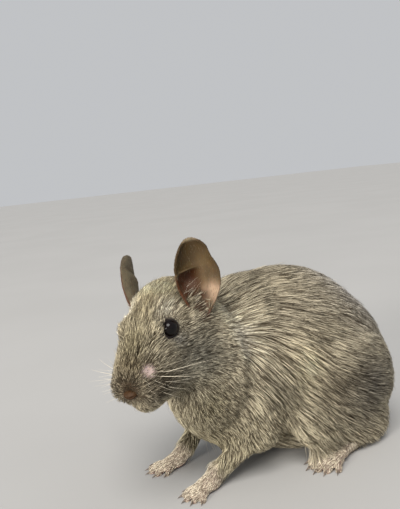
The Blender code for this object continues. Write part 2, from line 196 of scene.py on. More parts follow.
def bounded(values):
    """The values kept between 0 and 1."""
    return np.clip(values, 0, 1)


def spread(values, edges, rounds):
    """Evens out a value over a mesh: each round takes a share of the neighbours' mean."""
    ends = np.concatenate([edges, edges[:, ::-1]])
    count = np.bincount(ends[:, 0], minlength=len(values))
    for _ in range(rounds):
        mean = np.bincount(ends[:, 0], values[ends[:, 1]], len(values)) / np.maximum(count, 1)
        values = 0.4 * values + 0.6 * mean
    return values


@contextmanager
def editing_part(thing, chosen):
    """Edit mode on one object, with the chosen vertices selected."""
    with editing(thing, "DESELECT"):
        bpy.ops.mesh.select_mode(type="VERT")
    thing.data.vertices.foreach_set("select", chosen)
    bpy.ops.object.mode_set(mode="EDIT")
    yield
    bpy.ops.object.mode_set(mode="OBJECT")


def keep_outside(thing):
    """Drops anything that isn't joined to the highest vertex, such as a bubble inside."""
    height = places_of(thing)[:, 2]
    with editing_part(thing, np.arange(len(height)) == height.argmax()):
        bpy.ops.mesh.select_linked()
        bpy.ops.mesh.select_all(action="INVERT")
        bpy.ops.mesh.delete(type="VERT")


# The CAD node nearest to a place tells what part of the animal it is.
node_names = sorted(frame["nodes"])
tree_points, tree_faces, tree_nodes = [], [], []
for number, name in enumerate(node_names):
    mesh = frame["nodes"][name].data
    mesh.calc_loop_triangles()
    tree_faces += [[len(tree_points) + corner for corner in face.vertices] for face in mesh.loop_triangles]
    tree_nodes += [number] * len(mesh.loop_triangles)
    tree_points += [vert.co.copy() for vert in mesh.vertices]
solids = BVHTree.FromPolygons(tree_points, tree_faces)


def part_of(places):
    """The number in node_names of the CAD node nearest to each place."""
    return np.array([tree_nodes[solids.find_nearest(Vector(place))[2]] for place in places])


flesh = [name for kind in COAT_DEPTH for name in node_names if kind_of(name) == kind]
copies = [worked(merged_copy(node), "DISPLACE", strength=0.2 * MM, mid_level=0) for node in flesh]
hide = one_piece("hide", copies)
worked(hide, "REMESH", mode="VOXEL", voxel_size=MELT_VOXEL)
keep_outside(hide)
worked(hide, "SMOOTH", factor=0.5, iterations=10)
places, edges = places_of(hide), edges_of(hide)
depth_by_node = np.array([COAT_DEPTH.get(kind_of(name), OTHER_DEPTH) for name in node_names])
depth = spread(depth_by_node[part_of(places)], edges, 30)
low_down = bounded((places[:, 2] / MM - 1.0) / 6.0)  # the coat is pressed thin where it rests
depth *= 0.25 + 0.75 * low_down
for _ in range(3):
    places -= normals_of(hide) * depth[:, None] * MM / 3
    put_at(hide, places)
worked(hide, "SMOOTH", factor=0.5, iterations=4)

# The ears: thin cups of gristle and skin, rolled tight at the root and almost flat at the tip, with
# a turned edge, a notch in the rear edge and a ledge over the hollow. They grow out of the hide.
EAR_HEIGHT, EAR_HALF_WIDTH = 25.0 * MM, 8.7 * MM
EAR_WALL = 0.8 * MM
EAR_ROOT = Vector((11.2, 1.2, -3.0)) * MM
EAR_SET = {"left": (12, -1, 50), "right": (50, 40, 34)}  # degrees outwards, backwards, and turned out
LEDGE = 0.60  # where the ledge crosses the cup, as a share of the ear's height


def ear_outline(v):
    """Half the ear's width at a share of its height, as a share of its greatest half width."""
    root_width, fullest = 0.66, 0.5
    if v < fullest:
        return root_width + (1 - root_width) * sin(pi / 2 * v / fullest)
    return sqrt(max(0.0, 1 - ((v - fullest) / (1 - fullest)) ** 2))


def hump(x, middle, width):
    """A bell curve, 1 at the middle."""
    return exp(-(((x - middle) / width) ** 2))


def ear_point(u, v):
    """A point of the ear's sheet. u runs from its front edge, -1, to its rear edge, 1."""
    wide = EAR_HALF_WIDTH * ear_outline(v)
    rear = max(u, 0) ** 2
    notch, lobe = 1.3 * hump(v, 0.74, 0.12) * rear, 0.5 * hump(v, 0.32, 0.2) * rear
    roll = radians(26 + 76 * (1 - v) ** 2.2)
    bend = wide / roll
    turned_edge = 0.9 * max(0.0, abs(u) - 0.78) / 0.22 * min(1.0, ear_outline(v) * 1.6)
    ledge = 0.8 * hump(v, LEDGE + 0.02, 0.035) * hump(u, -0.35, 0.5)
    hollow = 1.1 * hump(v, LEDGE - 0.13, 0.10) * hump(u, -0.30, 0.42)
    hollow += 0.7 * hump(u, 0.25, 0.13) * hump(v, 0.2, 0.12)
    fold = 0.5 * hump(u, 0.42, 0.12) * hump(v, 0.42, 0.22)
    return Vector((
        bend * sin(roll * u) + (lobe - notch) * MM,
        3.2 * MM * v**2 - bend * (1 - cos(roll * u)) * 0.9 + (hollow - ledge - fold - turned_edge) * MM,
        EAR_HEIGHT * v,
    ))


def ear_place(side):
    """Turns the ear's sheet into the row frame."""
    splay, back, facing = EAR_SET[side]
    place = turned(splay, "Y") @ turned(-back, "X") @ turned(facing, "Z")
    return HEAD @ Matrix.Diagonal((SIDES[side], 1, 1, 1)) @ Matrix.Translation(EAR_ROOT) @ place


def outwards(thing):
    """Merges doubles and turns all the faces outwards."""
    with editing(thing):
        bpy.ops.mesh.remove_doubles(threshold=0.005 * MM)
        bpy.ops.mesh.normals_make_consistent(inside=False)


def ear(side):
    bpy.ops.mesh.primitive_grid_add(x_subdivisions=56, y_subdivisions=64, size=2)
    sheet = bpy.context.object
    place = ear_place(side)
    for vert in sheet.data.vertices:
        rise = -0.12 + 1.12 * (1 - (1 - (vert.co.y + 1) / 2) ** 1.35)
        vert.co = place @ ear_point(vert.co.x, min(rise, 1.0))
    outwards(sheet)
    return worked(sheet, "SOLIDIFY", thickness=EAR_WALL, offset=0, use_even_offset=True)


ears = [ear(side) for side in SIDES]

# The eyelids: a thin dark margin of bare skin that hugs the eyeball, in a soft low roll round the
# socket. Both are rings on the ball, and they melt into the hide.
EYE_RADIUS = 3.2 * MM
EYE_LOOK = Vector((0.80, -0.52, 0.30)).normalized()  # the way the left eye looks, in the head's frame
LID_OPENING = 58  # degrees: half the angle of the eyeball that shows
LID_RINGS = ((LID_OPENING + 1, 0.30, 0.02), (82, 0.85, -0.35))  # degrees, thickness and rise in mm
eye_frames = {
    side: Matrix.Translation(eye_middles[side])
    @ (HEAD.to_3x3() @ Matrix.Diagonal((sign, 1, 1)) @ EYE_LOOK).to_track_quat("Z", "Y").to_matrix().to_4x4()
    for side, sign in SIDES.items()
}
lids = []
for side in SIDES:
    for degrees, thick, off in LID_RINGS:
        reach, angle = EYE_RADIUS + off * MM, radians(degrees)
        ring, rod = reach * sin(angle), thick * MM
        bpy.ops.mesh.primitive_torus_add(
            major_radius=ring, minor_radius=rod, major_segments=72, minor_segments=16
        )
        lids.append(bpy.context.object)
        lids[-1].data.transform(eye_frames[side] @ Matrix.Translation((0, 0, reach * cos(angle))))

# The toes: short fingers of skin with a pad under the tip, five on each foot, set round the palm of
# a fore foot and the ball of a hind foot.
FORE_TOES = ((-34, 4.4, 0.8), (-14, 6.6, 0.95), (3, 7.4, 1.0), (19, 6.8, 0.95), (38, 5.2, 0.9))
HIND_TOES = ((-24, 5.8, 1.1), (-10, 8.4, 1.25), (1, 9.0, 1.3), (12, 8.4, 1.25), (26, 6.0, 1.1))
PALM, PALM_TURN, PALM_SPREAD = Vector((12.6, -38.6, 2.3)) * MM, 6, 4.2 * MM
HEEL, BALL, BALL_SPREAD = Vector((20.5, 33.5, 3.6)) * MM, Vector((25.5, 11.0, 3.0)) * MM, 0.153 * MM
SUNK = 0.3 * MM  # how far the feet were let into the floor before they were cut flat


def toe_lines():
    """Each toe's root, knuckle and pad, its radius, and the way it points."""
    lines = []
    for side, sign in SIDES.items():
        mirror = Vector((sign, 1, 1))
        heel, ball = HEEL * mirror, BALL * mirror
        heading = atan2(ball.x - heel.x, heel.y - ball.y)
        ahead = Vector((sin(heading), -cos(heading), 0))
        beside = Vector((cos(heading), sin(heading), 0)) * sign
        for fan, length, radius in FORE_TOES:
            across = sign * sin(radians(fan)) * PALM_SPREAD
            root = PALM * mirror + Vector((across, -2.6 * MM, -1.0 * MM))
            lines.append((root, sign * radians(fan + PALM_TURN), length, radius))
        for fan, length, radius in HIND_TOES:
            root = ball + beside * fan * BALL_SPREAD + ahead * 2.6 * MM
            root.z = 2.0 * MM
            lines.append((root, heading + sign * radians(fan), length, radius))
    return lines


def bean(start, end, thick):
    """A closed, rounded rod between two points."""
    along = end - start
    bpy.ops.mesh.primitive_uv_sphere_add(segments=20, ring_count=14, radius=thick)
    rod = bpy.context.object
    for vert in rod.data.vertices:
        if abs(vert.co.z) > 0.01 * thick:
            vert.co.z += copysign(along.length / 2, vert.co.z)
    turn = along.to_track_quat("Z", "Y").to_matrix().to_4x4()
    rod.data.transform(Matrix.Translation((start + end) / 2) @ turn)
    return rod


toes, digits = [], []
for root, turn, length, radius in toe_lines():
    ahead = Vector((sin(turn), -cos(turn), 0))
    length, radius = length * MM, radius * MM
    knuckle = root + ahead * length * 0.45 + Vector((0, 0, radius * 0.5))
    pad = Vector((root.x + ahead.x * length, root.y + ahead.y * length, radius))
    root, knuckle, pad = (BODY @ (point - Vector((0, 0, SUNK))) for point in (root, knuckle, pad))
    toes.append((pad, ahead, radius))
    under = pad - Vector((0, 0, 0.15 * MM))
    digits.append(bean(root, knuckle, radius * 0.98))
    digits.append(bean(knuckle, pad, radius * 0.92))
    digits.append(bean(under - ahead * radius * 0.5, under + ahead * radius * 0.15, radius * 1.02))

# The whole hide: body, ears, lids and toes grown together into one skin. Fine work is kept where it
# shows, and the skin is thinned out where the long coat hides it. It is pressed in behind the eyes.
HIDE_VOXEL = 0.38 * MM
THINNED = {
    "trunk": 0.05, "neck": 0.06, "hind_leg": 0.05, "fore_leg": 0.08, "tail_brush": 0.06, "tail": 0.35,
    "ear": 0.9, "hind_foot": 0.5, "fore_paw": 0.6,
}
hide = one_piece("hide", [hide] + ears + lids + digits)
worked(hide, "REMESH", mode="VOXEL", voxel_size=HIDE_VOXEL)
keep_outside(hide)
worked(hide, "SMOOTH", factor=0.5, iterations=2)
for share in sorted(set(THINNED.values())):
    there = [number for number, name in enumerate(node_names) if THINNED.get(kind_of(name)) == share]
    with editing_part(hide, np.isin(part_of(places_of(hide)), there)):
        bpy.ops.mesh.select_mode(type="FACE")
        bpy.ops.mesh.decimate(ratio=share)


def round_the_eye(places, side):
    """Each place as the eye sees it: in its frame, its distance, and degrees from where it looks."""
    local = in_frame(places, eye_frames[side])
    far = np.linalg.norm(local, axis=1)
    return local, far, np.degrees(np.arccos(np.clip(local[:, 2] / np.maximum(far, 1e-6), -1, 1)))


places = places_of(hide)
for side in SIDES:
    local, far, angle = round_the_eye(places, side)
    most = EYE_RADIUS / MM * (0.86 + 0.22 * bounded((angle - LID_OPENING + 8) / 7))
    pressed = (far < EYE_RADIUS / MM * 1.6) & (angle < LID_OPENING) & (far > most)
    local[pressed] *= (most / far)[pressed, None]
    places[pressed] = out_of_frame(local[pressed], eye_frames[side])
places[:, 2] = np.maximum(places[:, 2], FLOOR_GAP)
put_at(hide, places)
smooth(hide)

# The skin's markings, with some painted light and shade, by the frame they lie in. Each patch is a region
# that
# blends into the next: its centre and radii in millimetres, the colour of the hair's tips there in linear
# light, how strong.
TIP_COLOUR = np.array((0.55, 0.50, 0.375))
BODY_PATCHES = (
    ((0, 10, 80), (40, 60, 22), (0.365, 0.32, 0.232), 0.9),  # back
    ((6, 34, 67), (30, 22, 20), (0.46, 0.45, 0.455), 0.85),  # rump
    ((8, 54, 38), (26, 16, 22), (0.19, 0.18, 0.17), 0.8),  # below the rump: darker, partly its own colour and partly painted shade
    ((22, -2, 63), (8, 22, 8), (0.42, 0.38, 0.30), 0.8),  # upper flank
    ((24, -27, 56), (9, 7, 9), (0.84, 0.77, 0.60), 0.95),  # shoulder: paler, painted light where it faces the lamp
    ((29, -6, 54), (12, 16, 9), (0.43, 0.385, 0.29), 0.7),  # flank
    ((28.8, -6, 45.5), (7, 5.5, 8), (0.92, 0.83, 0.59), 0.95),  # front of the haunch: paler, painted light where it faces the lamp
    ((31, 4, 35), (13, 12, 10), (0.22, 0.19, 0.135), 0.85),  # thigh: greyer, and darker as painted shade
    ((34, 20, 31), (13, 12, 13), (0.14, 0.13, 0.115), 0.85),  # back of the thigh: darker, partly its own colour and partly painted shade
    ((27, -18, 42), (6, 5, 8), (0.23, 0.21, 0.16), 0.8),  # crease behind the elbow: painted shade in the fold
    ((0, -34, 16), (28, 22, 14), (0.38, 0.345, 0.225), 0.8),  # chest
    ((21, -41, 37), (7, 7, 8), (0.34, 0.305, 0.20), 0.8),  # throat
    ((23.5, -35, 53), (5, 5, 6), (0.40, 0.365, 0.28), 0.8),  # behind the jaw
    ((0, 5, -4), (24, 40, 9), (0.75, 0.68, 0.55), 0.9),  # belly
    ((15.5, -28, 66), (7, 7, 7), (0.74, 0.68, 0.52), 0.85),  # side of the neck
)
HEAD_PATCHES = (
    ((0, -16, 7), (11, 18, 8), (0.405, 0.345, 0.208), 0.9),  # forehead
    ((2, -7, 9), (7, 7, 6), (0.88, 0.775, 0.52), 0.9),  # crown
    ((0, -28, -3), (4.5, 7, 5), (0.36, 0.315, 0.185), 0.8),  # bridge of the nose
    ((13, -15, -14), (8, 10, 9), (0.235, 0.227, 0.188), 0.9),  # cheek: greyer, and darker as painted shade
    ((7.2, -13, 3.2), (3.8, 4.2, 3.4), (0.72, 0.675, 0.56), 0.85),  # over the eye
    ((10.6, -17, -6.0), (3.2, 3.6, 1.9), (0.32, 0.318, 0.295), 0.8),  # under the eye
    ((8, -30, -15), (6, 7, 6), (0.085, 0.066, 0.044), 0.9),  # side of the muzzle: dark brown, deepened by painted shade
    ((1, -32, -7.5), (5, 4, 3.2), (0.22, 0.175, 0.10), 0.75),  # top of the muzzle
    ((0, -34, -13), (4.2, 3.6, 3.2), (0.072, 0.040, 0.015), 0.9),  # round the nose
    ((0, -31, -24), (7, 7, 3.6), (0.70, 0.62, 0.45), 0.9),  # chin
    ((1.5, -34.5, -19.5), (3, 2.5, 1.6), (0.62, 0.54, 0.40), 0.8),  # below the nose
    ((10, -18, -25), (6, 6, 5), (0.355, 0.325, 0.243), 0.8),  # side of the jaw
    ((11, 2, 3), (5, 6, 5), (0.66, 0.59, 0.43), 0.6),  # in front of the ear
)
FOOT_COLOUR, STEM_COLOUR = (0.64, 0.56, 0.45), (0.34, 0.26, 0.17)
BRUSH_COLOUR, EAR_COLOUR = (0.060, 0.050, 0.042), (0.18, 0.15, 0.10)
SKIN_SHARE = (0.22, 0.19, 0.16)  # the skin is darker than the tips of the hair over it
BARE_SPOT = Vector((6.6, -30.3, -8.8))  # a thin place in the coat on the left side of the muzzle
NOSE_MIDDLE = Vector((0, -34.4, -14.9))

part = part_of(places)
is_part = {name: part == number for number, name in enumerate(node_names)}
edges, normals = edges_of(hide), normals_of(hide)
coat_room = np.array([solids.find_nearest(Vector(place))[3] for place in places]) / MM
coat_room = spread(np.clip(coat_room, 0.1, 4.0), edges, 4)
in_head, in_body = in_frame(places, HEAD), in_frame(places, BODY)


def any_part(word):
    """Where the part's name holds this word."""
    return np.isin(part, [number for number, name in enumerate(node_names) if word in name])


def mixed(colour, other, share):
    """One colour with a share of another, at each vertex."""
    return colour + (np.asarray(other) - colour) * np.asarray(share, float)[:, None]


def near(local, centre, radii):
    """1 at the centre of a region, and 0 well outside it."""
    return np.exp(-(((local - np.array(centre)) / radii) ** 2).sum(1))


def near_both(local, centre, radii):
    """The same for a region and its mirror image on the other side."""
    return np.maximum(near(local, centre, radii), near(local * (-1, 1, 1), centre, radii))


def markings_and_painted_light():
    """The colour of the hair's tips at each vertex of the hide, with the painted light and shade of the
    patches.
    """
    colour = np.tile(TIP_COLOUR, (len(places), 1))
    for local, patches in ((in_body, BODY_PATCHES), (in_head, HEAD_PATCHES)):
        for centre, radii, patch, strength in patches:
            colour = mixed(colour, patch, strength * near_both(local, centre, radii))
    ends = {"paw": FOOT_COLOUR, "foot": FOOT_COLOUR, "tail": STEM_COLOUR, "ear": EAR_COLOUR}
    for word, patch in ends.items():
        colour = mixed(colour, patch, spread(any_part(word).astype(float), edges, 3))
    return mixed(colour, BRUSH_COLOUR, spread(is_part["tail_brush"].astype(float), edges, 2))


def save_colour(thing, name, colour):
    """A colour attribute at the vertices."""
    made = thing.data.attributes.new(name, "FLOAT_COLOR", "POINT")
    four = np.ones((len(colour), 4), np.float32)
    four[:, : colour.shape[1]] = colour
    made.data.foreach_set("color", four.ravel())


tone = markings_and_painted_light()
from_spot = np.linalg.norm(in_head - np.array(BARE_SPOT), axis=1)
bare_spot = np.exp(-(from_spot / 2.8) ** 4)
skin = tone * SKIN_SHARE
is_ear, is_foot = any_part("ear_"), any_part("paw") | any_part("foot")
rise, across, inside, cup = (np.zeros(len(places)) for _ in range(4))
before_ear = np.zeros(len(places))
for side in SIDES:
    local = in_frame(places, ear_place(side))
    here = is_part[f"ear_{side}"]
    rise[here], across[here] = local[here, 2] / (EAR_HEIGHT / MM), local[here, 0] / (EAR_HALF_WIDTH / MM)
    facing = normals @ np.array(ear_place(side).to_3x3().inverted()).T
    inside[here] = bounded(0.4 - 2 * facing[here, 1])
    cup = np.maximum(cup, near(local, (0, -4.5, 1.5), (6.5, 4.6, 6.0)) * is_part["head"])
    before_ear = np.maximum(before_ear, near(local, (-1, -8, 2), (9, 7, 8)) * is_part["head"])
cup = bounded(cup * 1.5)
# Inside the ear: brown above the ledge, a painted shadow in the hollow below it with a painted highlight
# along the ledge's edge, dusky pink deep down and on the rear lobe, painted shade in a pit low on the rear,
# and a pale rim all round that is partly painted light. Then the bare skin of the feet, the tail, the muzzle
# and the lids.
on_ear = np.stack([across, rise], 1)
below_ledge = bounded((LEDGE - rise) / 0.03) * bounded((0.40 - across) / 0.45)
deep_down = bounded((0.44 - rise) / 0.10)
lobe = bounded(near(on_ear, (0.60, 0.22), (0.34, 0.14)) * 1.3)
rim = bounded((np.maximum(np.abs(across) / 0.97, (rise - 0.55) / 0.44) - 0.945) / 0.05) * is_ear
eye_angle, out_of_eye, bare_lid = np.full(len(places), 180.0), np.zeros_like(places), np.zeros(len(places))
for side in SIDES:
    local, far, angle = round_the_eye(places, side)
    beside = far < EYE_RADIUS / MM * 1.9
    eye_angle = np.where(beside, angle, eye_angle)
    bare_lid += bounded((70 - angle) / 4) * bounded(13 - 10 * far * MM / EYE_RADIUS)
    turn = np.array(eye_frames[side].to_3x3())
    out_of_eye = np.where(beside[:, None], (local * (1, 1, 0)) @ turn.T, out_of_eye)
for colour, share in (
    ((0.115, 0.094, 0.058), is_ear * (1 - inside)),
    ((0.040, 0.023, 0.006), is_ear * inside),
    ((0.135, 0.088, 0.040), is_ear * inside * near(on_ear, (0.35, 0.55), (0.45, 0.25))),
    # painted shadow of the ledge, in the hollow below it
    ((0.042, 0.011, 0.001), inside * below_ledge),
    ((0.088, 0.034, 0.015), inside * below_ledge * deep_down * 0.9),
    ((0.16, 0.09, 0.062), inside * near(on_ear, (-0.25, 0.36), (0.26, 0.07)) * 0.8),
    # painted highlight along the ledge's edge
    ((0.26, 0.175, 0.09), inside * near(on_ear, (-0.45, LEDGE + 0.012), (0.5, 0.010)) * 0.8),
    ((0.36, 0.25, 0.165), inside * lobe),
    # painted shade in a pit low on the rear of the cup
    ((0.05, 0.022, 0.012), inside * near(on_ear, (0.25, 0.17), (0.22, 0.07)) * 0.8),
    # pale rim, partly its own colour and partly painted light where the edge catches the lamp
    ((0.36, 0.285, 0.18), spread(rim, edges, 1) * 0.55),
    ((0.10, 0.055, 0.038), cup),
    ((0.26, 0.19, 0.155), is_foot * 0.9),
    ((0.30, 0.18, 0.15), is_foot * bounded(-normals[:, 2] * 2)),
    ((0.13, 0.095, 0.075), is_part["tail"]),
    ((0.46, 0.35, 0.32), bare_spot),
    ((0.07, 0.062, 0.055), bounded((95 - eye_angle) / 20) * 0.7),
    ((0.010, 0.008, 0.008), bare_lid),
):
    skin = mixed(skin, colour, share)
save_colour(hide, "tone", skin)

with editing(hide):
    bpy.ops.uv.smart_project(angle_limit=radians(66), island_margin=0.0)
hide.data.uv_layers[0].name = "OFBake"


class Wire:
    """One output of a node in a material. Sums on it add Math nodes."""

    def __init__(self, finish, socket):
        self.finish, self.socket = finish, socket

    def math(self, operation, *values):
        return self.finish.node("ShaderNodeMath", values, operation=operation)

    def __add__(self, other):
        return self.math("ADD", self, other)

    def __rsub__(self, other):
        return self.math("SUBTRACT", other, self)

    def __mul__(self, other):
        return self.math("MULTIPLY", self, other)

    __radd__, __rmul__ = __add__, __mul__

    def between(self, low, high):
        """0 below low, 1 above high, and a smooth rise between."""
        return self.finish.node(
            "ShaderNodeMapRange", {0: self, 1: low, 2: high}, interpolation_type="SMOOTHSTEP", clamp=True
        )


class Finish:
    """A material made of nodes. Settings that are the same all over go straight on the shader."""

    def __init__(self, name, **fixed):
        self.material = bpy.data.materials.new(name)
        self.material.use_nodes = True
        self.tree = self.material.node_tree
        self.shader = self.tree.nodes["Principled BSDF"]
        for socket, value in fixed.items():
            self.shader.inputs[socket.replace("_", " ")].default_value = value

    def node(self, kind, values=(), output=0, **settings):
        """Adds a node: its settings first, then the values or wires of its sockets."""
        made = self.tree.nodes.new(kind)
        for setting, value in settings.items():
            setattr(made, setting, value)
        for socket, value in (values.items() if isinstance(values, dict) else enumerate(values)):
            self.feed(made.inputs[socket], value)
        return Wire(self, made.outputs[output])

    def feed(self, socket, value):
        if isinstance(value, Wire):
            self.tree.links.new(value.socket, socket)
        else:
            socket.default_value = value

    def mix(self, share, one, other, blend="MIX"):
        """Two colours mixed."""
        colours = [(*c, 1) if isinstance(c, tuple) else c for c in (one, other)]
        return self.node(
            "ShaderNodeMix", {0: share, 6: colours[0], 7: colours[1]}, 2, data_type="RGBA", blend_type=blend
        )

    def attribute(self, name, output="Color"):
        return self.node("ShaderNodeAttribute", output=output, attribute_name=name)

    def noise(self, scale, detail=3.0):
        place = self.node("ShaderNodeTexCoord", output="Object")
        return self.node("ShaderNodeTexNoise", {"Vector": place, "Scale": scale, "Detail": detail})

    def bump(self, height, strength, distance):
        made = self.node("ShaderNodeBump", {"Strength": strength, "Distance": distance, "Height": height})
        self.feed(self.shader.inputs["Normal"], made)

    def colour(self, value):
        self.feed(self.shader.inputs["Base Color"], value)

    def roughness(self, value):
        self.feed(self.shader.inputs["Roughness"], value)

    def on(self, *things):
        for thing in things:
            thing.data.materials.clear()
            thing.data.materials.append(self.material)


leather = Finish(
    "hide_skin", Roughness=0.6, Specular_IOR_Level=0.14, Subsurface_Weight=0.10, Subsurface_Scale=0.0015
)
pores = leather.noise(2200.0)
blotches = leather.noise(260.0, 4.0)
blotched = blotches.between(0.35, 0.7) * 0.30
leather.colour(leather.mix(blotched, leather.attribute("tone"), (0.05, 0.035, 0.028)))
leather.roughness(0.52 + 0.3 * pores)
leather.bump(pores, 0.35, 0.00015)
leather.on(hide)
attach(hide, "root")
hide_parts(*flesh, "ear_left", "ear_right")

# The lie of the coat: the way the hair runs at places on the animal, by the frame they are in. Left
# and right mirror. Each row is a place in millimetres and then a way. Between two the hair turns evenly.
HEAD_LIE = (
    (0, -33, -7, 0, 1, 0.5), (0, -26, -1, 0, 1, 0.4), (0, -16, 5, 0, 1, 0.3), (0, -6, 8, 0, 1, 0.1),
    (0, 4, 8, 0, 1, -0.15), (0, 13, 3, 0, 1, -0.3), (5, -18, 4, 0.30, 1, 0.45),
    (8.5, -13, 5, 0.35, 1, 0.25), (12, -11, 0, 0.25, 1, -0.05), (13.5, -13, -5, 0.1, 1, -0.35),
    (11, -20, -6, 0.1, 1, -0.75), (7.5, -23, -2, 0.25, 1, 0.1), (6, -29, -6, 0.3, 1, 0.3),
    (8, -29, -13, 0.4, 1, 0.0), (6, -32, -19, 0.3, 0.9, -0.5), (3, -36, -12, 0.8, 0.6, 0.5),
    (0, -33, -20, 0, 0.5, -1), (0, -27, -27, 0, 1, -0.6), (8, -18, -26, 0.1, 1, -0.35),
    (12, -20, -16, 0.2, 1, -0.2), (15.5, -10, -13, 0.1, 1, -0.4), (16, -3, -18, 0, 1, -0.5),
    (13, -6, -27, 0, 1, -0.35), (14.5, -4, 0, 0.2, 1, 0.0), (10, -5, 6, 0.35, 1, 0.35),
    (16, 6, -8, 0, 1, -0.4), (0, -10, -31, 0, 1, 0),
)
BODY_LIE = (
    (5, -34, 72, -0.15, 1, -0.1), (0, -18, 74, 0, 1, -0.1), (14, -30, 66, 0.2, 1, -0.35),
    (23, -34, 55, 0.1, 1, -0.6), (24, -38, 42, 0.1, 0.75, -0.75), (8, -47, 36, 0.1, 0.3, -1),
    (0, -44, 27, 0, 0.15, -1), (12, -40, 22, 0.05, 0.3, -1), (0, -34, 12, 0, 0.7, -0.6),
    (26, -24, 48, 0.05, 0.7, -0.95), (27, -16, 36, 0.05, 0.55, -1), (24, -24, 28, 0, 0.45, -0.95),
    (18, -31, 15, 0, 0.1, -1), (21, -14, 14, 0, 0.7, -0.7), (13, -34, 8, 0, -0.35, -1),
    (12, -6, 74, 0.2, 1, -0.3), (24, -4, 62, 0.15, 1, -0.75), (30, -4, 46, 0.05, 0.75, -0.9),
    (29, -6, 30, 0, 0.75, -0.8), (24, -6, 12, 0, 1, -0.45), (0, 12, 75, 0, 1, -0.15),
    (14, 22, 68, 0.15, 1, -0.4), (27, 14, 58, 0.12, 1, -0.75), (32, 8, 42, 0, 0.95, -0.65),
    (34, 20, 40, 0, 1, -0.2), (35, 14, 28, 0, 1, -0.5), (33, 4, 22, 0, 0.7, -0.8),
    (31, 6, 12, 0, 0.5, -0.9), (34, 28, 30, -0.1, 1, -0.4), (31, 36, 20, -0.2, 0.9, -0.7),
    (28, 34, 9, -0.1, 0.8, -0.7), (24, 40, 44, -0.1, 1, -0.45), (0, 36, 62, 0, 1, -0.5),
    (10, 50, 42, -0.05, 0.75, -0.8), (16, 52, 26, -0.3, 0.5, -0.9), (0, 57, 18, 0, 0.8, -0.6),
    (0, 0, -1, 0, 1, 0), (14, 24, 0, 0, 1, 0), (12.6, -40, 5, 0, -1, -0.15), (12.6, -46, 1, 0, -1, -0.1),
    (22, 24, 6, 0.2, -0.6, -0.8), (25.5, 10, 6, 0.25, -1, 0), (27, 2, 2, 0.25, -1, 0),
)
TAIL_RUN = (
    (0, 46, 15), (-2, 57, 8), (-13, 68, 3.2), (-31, 73, 3.0), (-47, 65, 2.8), (-56, 49, 3.0), (-57, 30, 3.2)
)
guide_place, guide_way = [], []
for around, rows in ((HEAD, HEAD_LIE), (BODY, BODY_LIE)):
    for row in rows:
        for sign in (1, -1) if row[0] else (1,):
            mirror = Vector((sign, 1, 1))
            guide_place.append(around @ (Vector(row[:3]) * MM * mirror))
            guide_way.append((around.to_3x3() @ (Vector(row[3:]) * mirror)).normalized())
guide_normal = np.array([solids.find_nearest(place)[1] for place in guide_place])
guide_place, guide_way = np.array(guide_place), np.array(guide_way)


def unit(rows):
    """Each row at length 1."""
    return rows / np.maximum(np.linalg.norm(rows, axis=1), 1e-12)[:, None]


def laid(way, normal):
    """The way along the surface."""
    return unit(way - (way * normal).sum(1)[:, None] * normal)


def lie_of_coat():
    """The way the hair runs at each vertex of the hide."""
    way = np.zeros_like(places)
    for start in range(0, len(places), 20000):
        here = slice(start, start + 20000)
        gap = np.linalg.norm(places[here, None] - guide_place[None], axis=2) / MM
        facing = bounded(normals[here] @ guide_normal.T) + 0.04
        way[here] = (facing / (gap**2 + 6) ** 1.6) @ guide_way
    run = np.array([BODY @ (Vector(knot) * MM) for knot in TAIL_RUN])
    on_tail = any_part("tail")
    gap = np.linalg.norm(places[on_tail, None] - (run[1:] + run[:-1])[None] / 2, axis=2) / MM
    way[on_tail] = (1 / (gap**2 + 4) ** 2) @ unit(run[1:] - run[:-1])
    for side in SIDES:
        way[is_part[f"ear_{side}"]] = np.array(ear_place(side).to_3x3() @ Vector((0, 0, 1)))
    way = laid(way, normals)
    # Round the eye the hair parts: what would lie over the eyeball runs past it instead.
    out = laid(out_of_eye, normals)
    closeness = bounded((125 - eye_angle) / 45)
    towards = np.minimum((way * out).sum(1), 0)
    upwards = np.array(HEAD.to_3x3() @ Vector((0, 0.3, 1)))
    way -= (closeness * towards)[:, None] * out * 1.15
    way += (closeness * (0.3 - towards * 0.5))[:, None] * upwards * 0.7 + closeness[:, None] * out * 0.3
    way = laid(way, normals)
    for axis in range(3):
        way[:, axis] = spread(way[:, axis], edges, 3)
    return laid(way, normals)


way = lie_of_coat()

# The coat: agouti hair in fine locks, rooted in the hide and lying over one another, dark at the root,
# pale towards the tip, and some with a black tip. Each lock is a closed three-sided blade. A row gives
# the locks on each square millimetre, and then their length, width and clumping in millimetres.
COAT = {
    "trunk": (2.55, 15.0, 0.255, 2.4), "neck": (3.3, 12.5, 0.24, 2.2), "hind_leg": (3.1, 13.0, 0.25, 2.2),
    "fore_leg": (3.6, 7.5, 0.26, 1.8), "head": (8.2, 5.6, 0.205, 1.2), "nose": (12.0, 1.5, 0.13, 0.8),
    "eye": (8.0, 2.6, 0.16, 1.0), "ear": (4.0, 1.5, 0.06, 0.8), "fore_paw": (10.0, 2.0, 0.16, 0.9),
    "hind_foot": (9.0, 2.2, 0.17, 0.9), "tail": (8.0, 2.8, 0.16, 1.0), "tail_brush": (6.0, 12.0, 0.26, 1.6),
}
# A piece of the coat covers these kinds of node, on the left half, the right half or both, in locks of
# so many rings.
PIECES = {
    "coat_trunk_left": ("trunk", 1, 3), "coat_trunk_right": ("trunk", -1, 3), "coat_neck": ("neck", 0, 3),
    "coat_head_left": ("head nose eye", 1, 2), "coat_head_right": ("head nose eye", -1, 2),
    "coat_haunch_left": ("hind_leg", 1, 3), "coat_haunch_right": ("hind_leg", -1, 3),
    "coat_fore_legs": ("fore_leg", 0, 3), "coat_feet": ("fore_paw hind_foot", 0, 2),
    "coat_ears": ("ear", 0, 2), "coat_tail": ("tail", 0, 2), "coat_brush": ("tail_brush", 0, 2),
}
